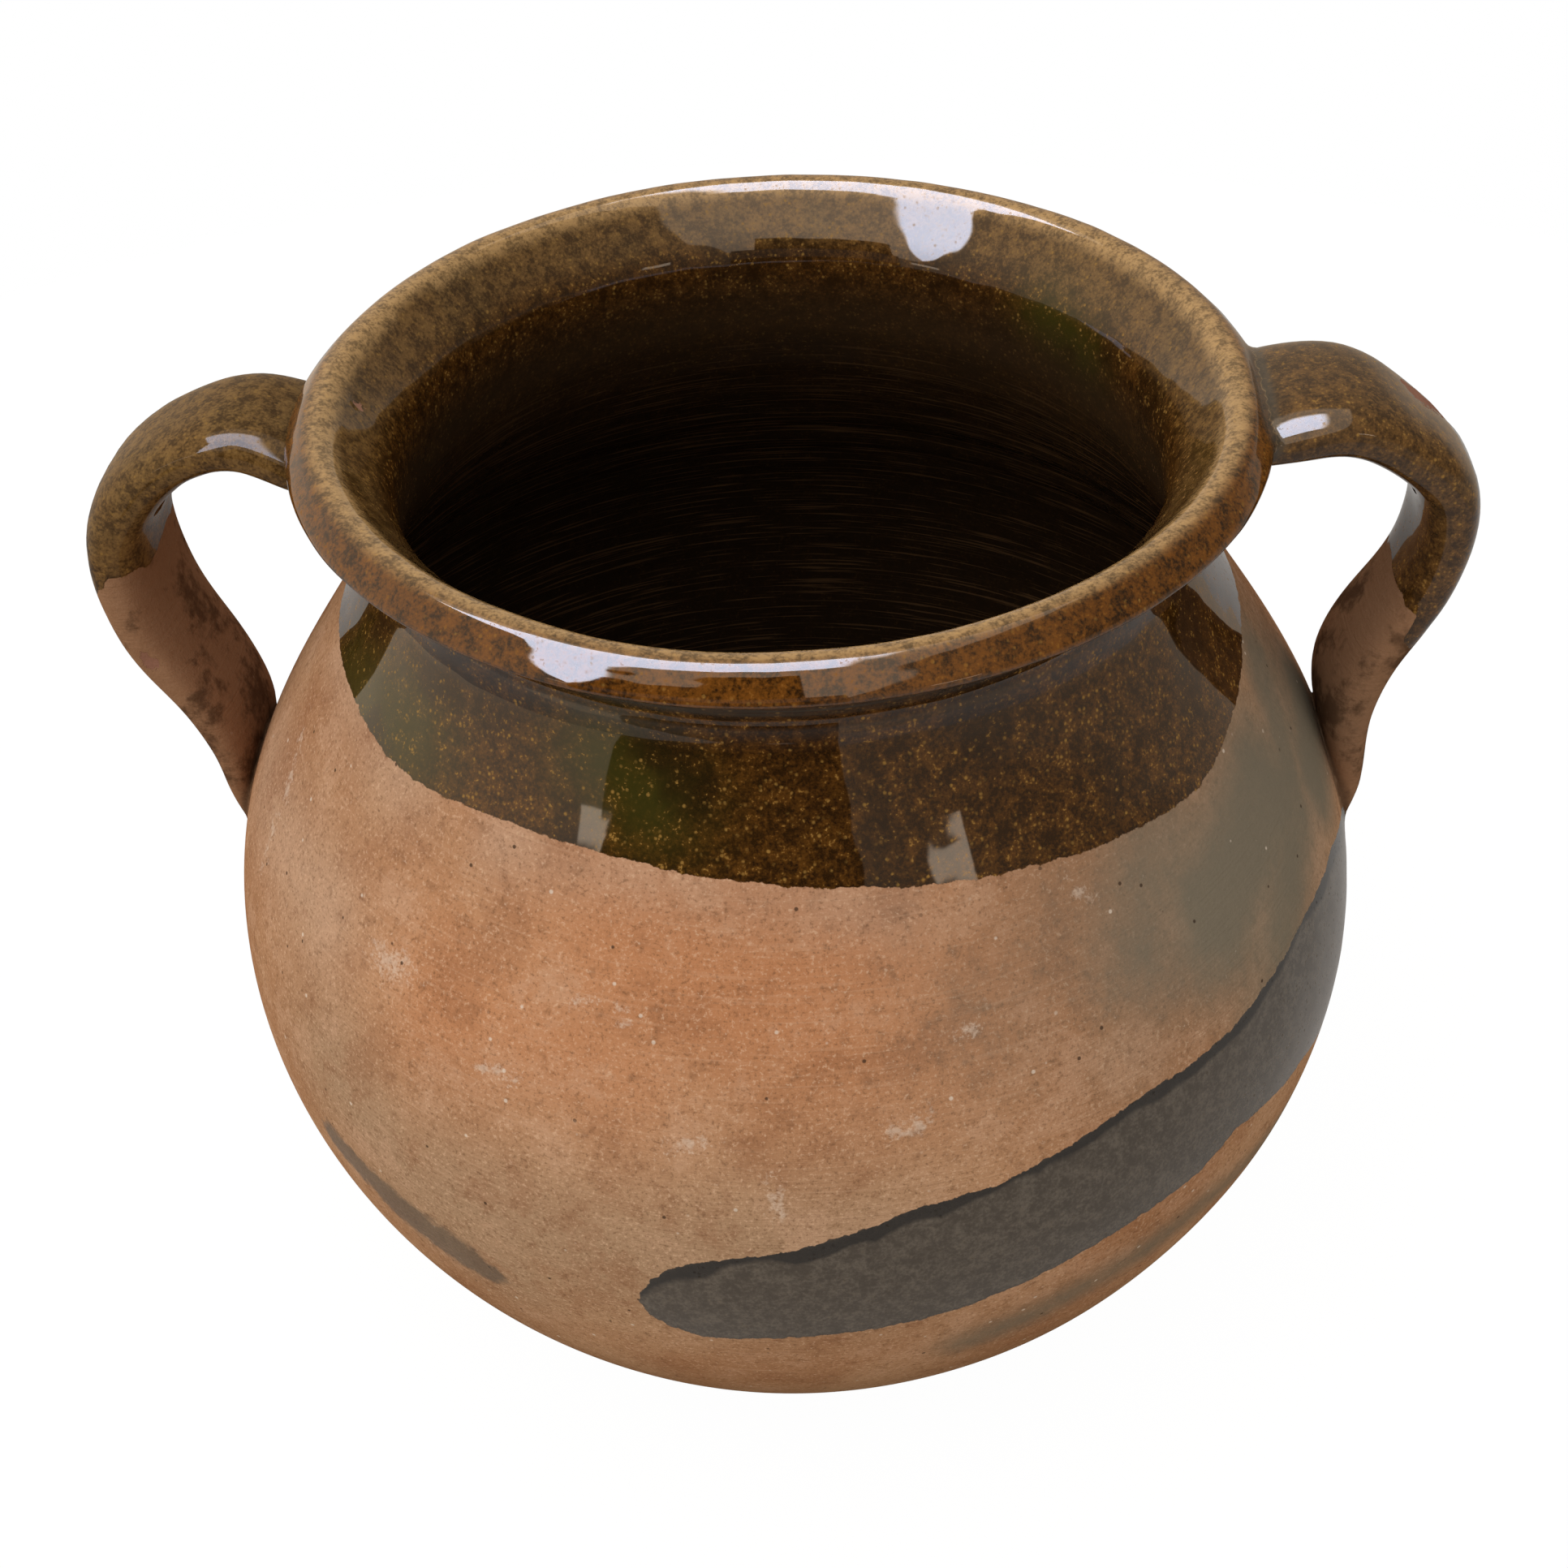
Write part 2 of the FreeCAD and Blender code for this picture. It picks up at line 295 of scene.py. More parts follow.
def profile():
    """The half section as (radius, height), from the middle of the base, up the outside,
    over the lip, down the inside to the middle of the floor; and where each part begins."""
    lean = (math.cos(FOOT_LEAN), math.sin(FOOT_LEAN))
    foot = (BASE_RADIUS + FOOT_ROUND * lean[1], FOOT_ROUND * (1 - lean[0]))
    wall_curve = smooth_through([foot] + WALL_RINGS, lean, (0, 1))
    under, under_way = underlip_arc()
    lip_curve = smooth_through([UNDERLIP] + NOSE + [CREST], under_way, (-1, 0))
    flare_curve = smooth_through([CREST, FLARE, THROAT], (-1, 0), (0, -1))
    base = [(r, BASE_HOLLOW * (1 - (r / BASE_HOLLOW_RADIUS) ** 2) if r < BASE_HOLLOW_RADIUS else 0.0)
            for r in BASE_RINGS]
    arc = [(BASE_RADIUS + FOOT_ROUND * math.sin(a), FOOT_ROUND * (1 - math.cos(a)))
           for a in np.linspace(0, FOOT_LEAN, 6)[1:-1]]
    inset = sampled(wall_curve, INSIDE_STEP)
    inset = inset - WALL * outward(inset)
    lowest, highest = INSIDE_HEIGHTS
    inset = inset[(inset[:, 1] < highest) & (inset[:, 1] > lowest)][::-1]
    inner = sampled(smooth_through([THROAT] + list(inset[::INSIDE_EVERY]) + [inset[-1]],
                                   (0, -1), INSIDE_LEAN), INSIDE_STEP)
    corner = sampled(smooth_through([inner[-1], CORNER, (FLOOR_RADIUS, FLOOR)],
                                    INSIDE_LEAN, (-1, 0)), CORNER_STEP)
    parts = {"base": base, "foot": arc, "wall": sampled(wall_curve, WALL_STEP),
             "underlip": under[1:], "lip": sampled(lip_curve, LIP_STEP)[1:],
             "flare": sampled(flare_curve, FLARE_STEP)[1:], "inside": inner[1:],
             "corner": corner[1:], "floor": [(r, FLOOR) for r in FLOOR_RINGS]}
    starts = dict(zip(parts, np.cumsum([0] + [len(part) for part in parts.values()])))
    return np.array([ring for part in parts.values() for ring in part]), starts


PROFILE, STARTS = profile()
PROFILE_LENGTH = np.concatenate(
    [[0], np.cumsum(np.linalg.norm(np.diff(PROFILE, axis=0), axis=1))])
CREST_LENGTH = PROFILE_LENGTH[STARTS["flare"] - 1]


def tube_faces(rows, around):
    """Four-sided faces between rings of points that follow one another, with two caps."""
    faces = []
    for row in range(rows - 1):
        for k in range(around):
            a, b = row * around + k, row * around + (k + 1) % around
            faces.append((a, b, b + around, a + around))
    faces.append(tuple(range(around))[::-1])
    last = (rows - 1) * around
    faces.append(tuple(range(last, last + around)))
    return faces


def turned_over(faces):
    """Faces that look the other way, each from the same first corner."""
    return [corners[:1] + corners[:0:-1] for corners in faces]


def thrown_rings(height):
    """How far each ring of the section is pushed out by the potter's fingers."""
    index = np.arange(len(height))
    on_neck = (index > STARTS["wall"]) & (index < STARTS["lip"])
    on_inside = (index >= STARTS["inside"]) & (index < STARTS["floor"])
    neck = sum(out * np.exp(-((height - place) / wide) ** 2) for place, wide, out in NECK_RINGS)
    lowest, pitch, count, depth = FINGER_RINGS
    fingers = sum(depth * np.exp(-((height - lowest - k * pitch) / (pitch / 3.2)) ** 2)
                  for k in range(count))
    ripple, reach = FINE_RIPPLE
    inside = -(fingers + ripple * np.sin(height / reach))
    return neck * on_neck + inside * on_inside * (height > 20)


def body_mesh():
    """The turned body with its finger rings and the slight unevenness of hand throwing."""
    height = PROFILE[:, 1]
    rows = PROFILE + outward(PROFILE) * thrown_rings(height)[:, None]
    azimuth = 2 * math.pi * np.arange(AROUND) / AROUND
    az, r = np.meshgrid(azimuth, rows[:, 0])
    z = np.repeat(rows[:, 1][:, None], AROUND, 1)
    level = np.repeat(height[:, None], AROUND, 1)
    wobble = sum(amount * np.sin(lobes * az + start + level / twist)
                 for lobes, amount, start, twist in WOBBLES)
    rim = np.exp(-((level - RIM_HEIGHT) / RIM_REACH) ** 2)
    high = sum(amount * np.sin(lobes * az + start) for lobes, amount, start in RIM_WAVES)
    r = r + wobble * np.clip(level / 12, 0, 1) * np.clip(r / 40, 0, 1)
    r = r + RIM_PULLED * np.cos(az) * np.maximum(np.sin(az), 0) * rim
    z = z + high * rim - RIM_SUNK * rim
    points = np.stack([r * np.cos(az), r * np.sin(az), z], -1).reshape(-1, 3)
    return points, tube_faces(len(rows), AROUND)


def strap_mesh(line, widths, thicknesses, turn, seed):
    """One pulled strap, a flat section with round edges along the middle line. Besides the
    mesh it gives each point's length along the strap, and 1 to -1 from its under to its
    upper face."""
    length, at = smooth_through(line)
    knots = np.cumsum([0] + [math.dist(a, b) for a, b in zip(line[:-1], line[1:])])
    s = np.linspace(STRAP_START, length, round((length - STRAP_START) / STRAP_STEP) + 1)
    middle = at(s)
    out = outward(middle)
    width, thick = np.interp(s, knots, widths), np.interp(s, knots, thicknesses)
    for _ in range(STRAP_EASING):
        width[1:-1] = (width[:-2] + 2 * width[1:-1] + width[2:]) / 4
        thick[1:-1] = (thick[:-2] + 2 * thick[1:-1] + thick[2:]) / 4
    angle = 2 * math.pi * np.arange(STRAP_AROUND) / STRAP_AROUND
    side = np.sign(np.cos(angle)) * np.abs(np.cos(angle)) ** SQUARENESS
    face = np.sign(np.sin(angle)) * np.abs(np.sin(angle)) ** SQUARENESS
    uneven = 1 + 0.02 * np.sin(s / 9 + seed)[:, None] * np.cos(2 * angle + seed)[None, :]
    uneven += 0.012 * np.sin(s / 4.1 + 2 * seed)[:, None] * np.cos(3 * angle - seed)[None, :]
    across = side * width[:, None] / 2 * uneven
    normal = -face * thick[:, None] / 2 * uneven
    radial = middle[:, 0][:, None] + normal * out[:, 0][:, None]
    height = middle[:, 1][:, None] + normal * out[:, 1][:, None]
    east, north = math.cos(turn), math.sin(turn)
    points = np.stack([radial * east - across * north, radial * north + across * east, height], -1)
    faces = turned_over(tube_faces(len(s), STRAP_AROUND))
    return points.reshape(-1, 3), faces, np.repeat(s, STRAP_AROUND), np.tile(face, len(s))


def new_object(name, points, faces):
    mesh = bpy.data.meshes.new(name)
    mesh.from_pydata((np.asarray(points) * MM).tolist(), [], faces)
    mesh.validate()
    mesh.update()
    thing = bpy.data.objects.new(name, mesh)
    bpy.context.scene.collection.objects.link(thing)
    return thing


def read_points(mesh, kind="co", unit=MM):
    """Places or normals of a mesh's points, as rows of three."""
    flat = np.zeros(len(mesh.vertices) * 3, np.float32)
    mesh.vertices.foreach_get(kind, flat)
    return flat.reshape(-1, 3).astype(float) / unit


def move_points(mesh, points):
    mesh.vertices.foreach_set("co", (points * MM).astype(np.float32).ravel())
    mesh.update()


def joined(body, straps):
    """The body and its handles as one skin."""
    for strap in straps:
        union = body.modifiers.new("join", "BOOLEAN")
        union.operation, union.solver, union.object = "UNION", "EXACT", strap
    bpy.context.view_layer.update()
    graph = bpy.context.evaluated_depsgraph_get()
    mesh = bpy.data.meshes.new_from_object(body.evaluated_get(graph))
    body.modifiers.clear()
    old = body.data
    body.data = mesh
    bpy.data.meshes.remove(old)
    for strap in straps:
        bpy.data.objects.remove(strap)
    return body


def tree_of(points):
    tree = KDTree(len(points))
    for index, point in enumerate(points):
        tree.insert(point, index)
    tree.balance()
    return tree


def same_points(points, tree):
    """For each point, which point of the tree lies in the same place, or -1."""
    found = (tree.find(point)[1:] for point in points)
    return np.array([index if far < SAME_PLACE else -1 for index, far in found])


def soften(points, edges, weight, rounds):
    """Eases each point towards the mean of its neighbours, as far as its weight says."""
    for _ in range(rounds):
        total = np.zeros_like(points)
        count = np.zeros(len(points))
        np.add.at(total, edges[:, 0], points[edges[:, 1]])
        np.add.at(total, edges[:, 1], points[edges[:, 0]])
        np.add.at(count, edges[:, 0], 1)
        np.add.at(count, edges[:, 1], 1)
        mean = total / np.maximum(count, 1)[:, None]
        points = points + (mean - points) * weight[:, None] * EASE_SHARE
    return points


# The pot's skin.
body_points, body_faces = body_mesh()
left_points, left_faces, left_along, left_face = strap_mesh(
    LEFT_LINE, LEFT_WIDTHS, LEFT_THICKNESSES, LEFT_TURN, 1.3)
right_points, right_faces, right_along, right_face = strap_mesh(
    RIGHT_LINE, RIGHT_WIDTHS, RIGHT_THICKNESSES, RIGHT_TURN, 4.2)
pot = joined(new_object("confit_pot", body_points, body_faces),
             [new_object("left", left_points, left_faces),
              new_object("right", right_points, right_faces)])
skin = pot.data
skin.polygons.foreach_set("use_smooth", np.ones(len(skin.polygons), bool))

# Which part each point lies on: the body, a handle, or the seam between them.
points = read_points(skin)
left_tree, right_tree = tree_of(left_points), tree_of(right_points)
on_left, on_right = same_points(points, left_tree), same_points(points, right_tree)
strap = (on_left >= 0) | (on_right >= 0)
on_seam = (same_points(points, tree_of(body_points)) < 0) & ~strap
seam_tree = tree_of(points[on_seam])
seam_gap = np.array([seam_tree.find(point)[2] for point in points])
reach = JOINT_REACH + JOINT_REACH_MORE * np.clip((SHANK_TOP - points[:, 2]) / 30, 0, 1)
edges = np.zeros(len(skin.edges) * 2, np.int32)
skin.edges.foreach_get("vertices", edges)
points = soften(points, edges.reshape(-1, 2), np.clip(1 - seam_gap / reach, 0, 1), JOINT_ROUNDS)
move_points(skin, points)
skin_tree = BVHTree.FromPolygons(points.tolist(), [face.vertices[:] for face in skin.polygons])
point_tree = tree_of(points)


def way_to(px, py):
    """The direction in which the camera sees a pixel of the photograph."""
    half = PHOTO_SIDE / 2
    return (VIEW @ Vector(((px - half) / PHOTO_FOCAL, (half - py) / PHOTO_FOCAL, -1))).normalized()


def cone_hits(way, lower, upper):
    """Distances at which a line from the camera meets the cone through two rings."""
    eye = CAMERA_PLACE
    slope = (upper[0] - lower[0]) / (upper[1] - lower[1])
    a, b = lower[0] + slope * (eye[2] - lower[1]), slope * way[2]
    square = way[0] ** 2 + way[1] ** 2 - b ** 2
    linear = 2 * (eye[0] * way[0] + eye[1] * way[1] - a * b)
    root = linear ** 2 - 4 * square * (eye[0] ** 2 + eye[1] ** 2 - a ** 2)
    if root < 0:
        return []
    ends = sorted((lower[1], upper[1]))
    fars = [(-linear + sign * math.sqrt(root)) / (2 * square) for sign in (-1, 1)]
    return [far for far in fars if far > 0 and a + b * far > 0
            and ends[0] - 1e-9 <= eye[2] + far * way[2] <= ends[1] + 1e-9]


def seen_at(px, py):
    """Where a pixel of the photograph lies on the turned body: (azimuth, profile length).
    A pixel just beside the pot gives the nearest place of its outline."""
    way, eye = np.array(way_to(px, py)), np.array(CAMERA_PLACE)
    hits = []
    for lower, upper, start in zip(PROFILE[:-1], PROFILE[1:], PROFILE_LENGTH):
        if abs(upper[1] - lower[1]) < 1e-6:
            continue
        for far in cone_hits(way, lower, upper):
            place = eye + far * way
            share = (place[2] - lower[1]) / (upper[1] - lower[1])
            hits.append((far, math.atan2(place[1], place[0]), start + share * math.dist(lower, upper)))
    if hits:
        return min(hits)[1:]
    outside = slice(STARTS["wall"], STARTS["underlip"])
    radii, heights = PROFILE[outside].T
    beside = eye + np.arange(200, 760, 0.5)[:, None] * way
    gap = np.hypot(beside[:, 0], beside[:, 1]) - np.interp(
        beside[:, 2], heights, radii, left=BASE_RADIUS, right=radii[-1])
    place = beside[np.argmin(gap)]
    return (math.atan2(place[1], place[0]),
            float(np.interp(place[2], heights, PROFILE_LENGTH[outside])))


def seen_point(px, py):
    """The point of the finished pot at a pixel of the photograph, or nearest to it."""
    eye, way = Vector(CAMERA_PLACE), way_to(px, py)
    hit = skin_tree.ray_cast(eye, way)[0]
    if hit is None:
        beside = [skin_tree.find_nearest(eye + way * far) for far in range(240, 640, 8)]
        hit = min(beside, key=lambda found: found[3])[0]
    return np.array(hit)


def distance_inside(polygon, x, y):
    """Distance to a closed outline, positive inside it."""
    corners = np.array(polygon, float)
    best = np.full(len(x), np.inf)
    within = np.zeros(len(x), bool)
    for (x0, y0), (x1, y1) in zip(corners, np.roll(corners, -1, axis=0)):
        dx, dy = x1 - x0, y1 - y0
        share = np.clip(((x - x0) * dx + (y - y0) * dy) / max(dx * dx + dy * dy, 1e-9), 0, 1)
        best = np.minimum(best, np.hypot(x - x0 - share * dx, y - y0 - share * dy))
        crosses = (y0 > y) != (y1 > y)
        at_x = x0 + (y - y0) * dx / (dy if dy else 1e-9)
        within ^= crosses & (x < at_x)
    return np.where(within, best, -best)


def section_lengths():
    """How far along the section each point lies. On the outside below the lip its height
    sets this more finely than the nearest ring does."""
    ring_tree = tree_of([(r, z, 0) for r, z in PROFILE])
    radii, heights = np.hypot(points[:, 0], points[:, 1]), points[:, 2]
    nearest = np.array([PROFILE_LENGTH[ring_tree.find((r, z, 0))[1]]
                        for r, z in zip(radii, heights)])
    wall = slice(STARTS["foot"], STARTS["lip"])
    by_height = np.interp(heights, PROFILE[wall, 1], PROFILE_LENGTH[wall])
    outside = (nearest > PROFILE_LENGTH[STARTS["foot"]]) & (nearest < CREST_LENGTH - 2)
    return np.where(outside & (heights < STEPPED_RADIUS_HEIGHT), by_height, nearest), outside


def shoulder_border():
    """The lower border of the shoulder's glaze all the way round: (azimuth, length) rows."""
    seen = sorted(seen_at(*pixel) for pixel in SHOULDER_EDGE)
    (first_turn, first), (last_turn, last) = seen[0], seen[-1]
    hidden = [(last_turn + share * (first_turn + 2 * math.pi - last_turn),
               last + share * (first - last) - BORDER_SAG * math.sin(math.pi * share)
               + BORDER_SWING * math.sin(BORDER_SWINGS * share)) for share in BORDER_BEHIND]
    hidden = [((turn + math.pi) % (2 * math.pi) - math.pi, m) for turn, m in hidden]
    ring = sorted(seen + hidden)
    before = (ring[-1][0] - 2 * math.pi, ring[-1][1])
    after = (ring[0][0] + 2 * math.pi, ring[0][1])
    return np.array([before] + ring + [after])


def along_straps():
    """How far along its handle each point lies, and on which face of it."""
    along, facing = np.zeros(len(points)), np.zeros(len(points))
    for index in np.nonzero(strap)[0]:
        if on_left[index] >= 0:
            along[index], facing[index] = left_along[on_left[index]], left_face[on_left[index]]
        else:
            along[index], facing[index] = right_along[on_right[index]], right_face[on_right[index]]
    for index in np.nonzero(on_seam)[0]:
        tree, lengths, sides = ((left_tree, left_along, left_face) if points[index, 0] < 0
                                else (right_tree, right_along, right_face))
        near = tree.find(points[index])[1]
        along[index], facing[index] = lengths[near], sides[near]
    return along, facing


def marked(marks):
    """A field that is 1 on marks and fades beyond them."""
    total = np.zeros(len(points))
    for x0, y0, x1, y1, wide in marks:
        start, end = seen_point(x0, y0), seen_point(x1, y1)
        way = end - start
        share = np.clip((points - start) @ way / max(way @ way, 1e-6), 0, 1)
        gap = np.linalg.norm(points - start - share[:, None] * way, axis=1)
        total = np.maximum(total, np.exp(-(gap / wide) ** 2))
    return total


def rough_field(size, octaves, shift):
    """Smooth random numbers, about 0 to 1, whose spots have a size in millimetres."""
    offset = Vector((shift, 2.3 * shift, -1.7 * shift))
    return np.array([0.5 + 0.5 * noise.fractal(Vector(p) / size + offset, 0.9, 2.1, octaves)
                     for p in points])


# Where the glaze ends: distance inside its border in millimetres, by part of the pot.
length, outer_skin = section_lengths()
inner_skin = (length > CREST_LENGTH) & ~strap & ~on_seam
azimuth = np.arctan2(points[:, 1], points[:, 0])
ring = shoulder_border()
steep = np.interp(azimuth, ring[:, 0], np.gradient(ring[:, 1], ring[:, 0] * SHOULDER_GIRTH))
shoulder_glaze = (length - np.interp(azimuth, ring[:, 0], ring[:, 1])) / np.sqrt(1 + steep ** 2)

run_upper = [seen_at(*pixel) for pixel in RUN_UPPER]
run_upper += [(math.radians(turn), m) for turn, m in RUN_BEHIND_UPPER]
run_lower = [(math.radians(turn), m) for turn, m in RUN_BEHIND_LOWER]
run_lower += [seen_at(*pixel) for pixel in RUN_LOWER]
run_outline = [(turn * GIRTH, m) for turn, m in run_upper + run_lower]
run_glaze = distance_inside(run_outline, azimuth * GIRTH, length)
run_line = np.array(sorted((turn * GIRTH, m) for turn, m in run_upper))
below_run_line = np.interp(azimuth * GIRTH, run_line[:, 0], run_line[:, 1]) - length

along, facing = along_straps()
left_end, right_end = (along[point_tree.find(seen_point(*pixel))[1]]
                       for pixel in (LEFT_GLAZE_END, RIGHT_GLAZE_END))
strap_end = np.where(points[:, 0] < 0, left_end, right_end)
strap_glaze = strap_end + UNDERSIDE_GLAZE * (facing > 0) - along

glazed = np.maximum(shoulder_glaze, run_glaze)
glazed = np.where(length >= CREST_LENGTH - LIP_GLAZE, 20, glazed)
glazed = np.where(length < PROFILE_LENGTH[STARTS["foot"]], -20, glazed)
glazed = np.where(strap | on_seam & (points[:, 2] > SHANK_TOP), strap_glaze, glazed)

waves = rough_field(10, 2, 14.9)
chips = marked(CHIPS)
# A painted reflection: a light grey line along the groove at the foot of the neck.
groove = np.exp(-((points[:, 2] - seen_point(*NECK_GROOVE)[2]) / 0.8) ** 2)
FIELDS = {
    "glazed": np.clip(glazed, -20, 20),
    "run": np.where(strap, -20, np.clip(run_glaze, -20, 20)),
    "run_top": np.clip(below_run_line, -40, 40),
    "strap": strap + 0.5 * on_seam,
    "along": along,
    "seam": np.clip(seam_gap, 0, 12),
    "inside": inner_skin,
    "rim": np.where(strap, 60, np.clip(length - CREST_LENGTH, -60, 200)),
    # How low a point lies, for the painted shade that darkens the clay towards the bottom.
    "low": np.where(strap, 0, np.clip((70 - points[:, 2]) / 60, 0, 1)),
    "broad": rough_field(42, 3, 3.1),
    "patch": rough_field(15, 3, 8.4),
    "smoke": np.maximum.reduce([level * marked(marks) for level, marks in SMOKE]),
    "scuff": marked(SCUFFS),
    "smear": marked(SMEARS),
    "chips": chips,
    "red": marked(RED_CLAY),
    "ochre": marked(OCHRE_CLAY),
    "pale": marked(PALE_CLAY),
    "olive": marked(OLIVE_GLAZE),
    # Duller glaze on the left handle, and a painted sheen on its tan.
    "matt": (strap & (points[:, 0] < 0)) * LEFT_HANDLE_WEAR_AND_SHEEN,
    "groove": groove * ~strap * outer_skin,
}
for field_name, values in FIELDS.items():
    attribute = skin.attributes.new(field_name, "FLOAT", "POINT")
    attribute.data.foreach_set("value", np.asarray(values, np.float32))

push = (waves - WAVE_MIDDLE) * WAVE_DEPTH * np.clip(glazed / 2, 0, 1) * (1 - inner_skin * 0.3)
push -= CHIP_DEPTH * np.clip((chips - 0.3) * 2, 0, 1) * (0.8 + 0.5 * waves)
move_points(skin, points + read_points(skin, "normal", 1) * push[:, None])


def tone(name):
    """A colour of the table in the numbers that the material takes."""
    def plain(level):
        level = level / 255
        return level / 12.92 if level <= 0.04045 else ((level + 0.055) / 1.055) ** 2.4
    return (*(plain(level) for level in TONES[name]), 1.0)


class Value:
    """A number that varies over the surface; sums and products of values make new ones."""

    def __init__(self, nodes, socket):
        self.nodes, self.socket = nodes, socket

    def _math(self, kind, *others):
        node = self.nodes.add("ShaderNodeMath", dict(enumerate((self,) + others)), operation=kind)
        return Value(self.nodes, node.outputs[0])

    def __add__(self, other):
        return self._math("ADD", other)

    __radd__ = __add__

    def __sub__(self, other):
        return self._math("SUBTRACT", other)

    def __rsub__(self, other):
        return (self * -1) + other

    def __mul__(self, other):
        return self._math("MULTIPLY", other)

    __rmul__ = __mul__

    def __truediv__(self, other):
        return self._math("DIVIDE", other)

    def __neg__(self):
        return self * -1

    def most(self, other):
        return self._math("MAXIMUM", other)

    def least(self, other):
        return self._math("MINIMUM", other)

    def size(self):
        return self._math("ABSOLUTE")

    def step(self, low, high):
        """0 below low, 1 above high, smooth between; low may be the larger one."""
        ends = (low, high, 0.0, 1.0) if low < high else (high, low, 1.0, 0.0)
        node = self.nodes.add("ShaderNodeMapRange", dict(enumerate((self,) + ends)),
                              interpolation_type="SMOOTHSTEP")
        return Value(self.nodes, node.outputs[0])


class Nodes:
    """The nodes of one material or of the surroundings."""

    def __init__(self, owner):
        owner.use_nodes = True
        self.tree = owner.node_tree
        self.tree.nodes.clear()

    def add(self, kind, sockets=None, **settings):
        """A node with its settings, and values or links for its sockets."""
        node = self.tree.nodes.new(kind)
        for name, setting in settings.items():
            setattr(node, name, setting)
        for place, source in (sockets or {}).items():
            self.join(source, node.inputs[place])
        return node

    def join(self, source, target):
        if isinstance(source, Value):
            source = source.socket
        if isinstance(source, bpy.types.NodeSocket):
            self.tree.links.new(source, target)
        else:
            target.default_value = source

    def field(self, name):
        return Value(self, self.add("ShaderNodeAttribute", attribute_name=name).outputs["Fac"])

    def stretched(self, across, up, shift):
        """The object's own coordinates in millimetres, divided by a size across and up."""
        node = self.add("ShaderNodeVectorMath", {
            0: self.add("ShaderNodeTexCoord").outputs["Object"],
            1: (1 / MM / across, 1 / MM / across, 1 / MM / up),
            2: (shift, 1.7 * shift, -2.3 * shift)}, operation="MULTIPLY_ADD")
        return node.outputs[0]

    def cloudy(self, across, up=None, detail=3.0, rough=0.55, shift=0.0):
        """Soft noise, 0 to 1 with most of it near 0.5, whose spots have a size in millimetres."""
        node = self.add("ShaderNodeTexNoise", {
            "Vector": self.stretched(across, up or across, shift), "Scale": 1.0,
            "Detail": detail, "Roughness": rough}, noise_dimensions="3D")
        return Value(self, node.outputs["Fac"])

    def grains(self, across, shift=0.0):
        """Cells: the distance to the middle of each, and a random number for each."""
        node = self.add("ShaderNodeTexVoronoi", {
            "Vector": self.stretched(across, across, shift), "Scale": 1.0},
            voronoi_dimensions="3D")
        split = self.add("ShaderNodeSeparateColor", {0: node.outputs["Color"]})
        return Value(self, node.outputs["Distance"]), Value(self, split.outputs[0])

    def blend(self, under, over, share):
        """One colour laid over another."""
        node = self.add("ShaderNodeMix", {0: share, 6: under, 7: over}, data_type="RGBA")
        return Value(self, node.outputs[2])

    def layered(self, colour, layers):
        """A colour with named tones laid over it in turn, each with its share."""
        for name, share in layers:
            colour = self.blend(colour, tone(name), share)
        return colour

    def finish(self, kind, shader):
        self.add(kind, {0: shader})


def surface_values(n):
    """The skin's fields, the fine noises that its layers share, and where the glaze is."""
    f = SimpleNamespace(**{name: n.field(name) for name in FIELDS})
    f.fine = n.cloudy(3.0, detail=4, rough=0.65, shift=3.0)
    f.grain = n.cloudy(0.75, detail=2, rough=0.7, shift=4.0)
    f.turning = n.cloudy(26, 0.6, detail=2, shift=5.0)
    f.stir, f.grit = f.fine - 0.5, f.grain - 0.5
    f.mottle = f.fine * 0.55 + f.grain * 0.45
    # The border of the glaze is ragged by a millimetre or so, and by more on a handle.
    f.border = f.glazed + f.stir * 2.4 + f.strap * (f.patch - 0.5) * 12
    f.chipped = (f.chips + f.stir * 1.5 + f.grit * 0.6).step(0.5, 0.6)
    f.glaze = f.border.step(-0.12, 0.12) * (1 - f.chipped)
    f.bare = 1 - f.glaze
    f.film = (f.smear + f.stir * 0.8).step(0.35, 0.75)
    speck_gap, speck_chance = n.grains(0.9, shift=9.0)
    specks = speck_gap.step(0.55, 0.15) * speck_chance.step(0.80, 0.95)
    specks = specks.most((f.grain * 0.7 + f.fine * 0.3).step(0.585, 0.68))
    f.flecks = specks * f.fine.step(0.36, 0.58)
    return f


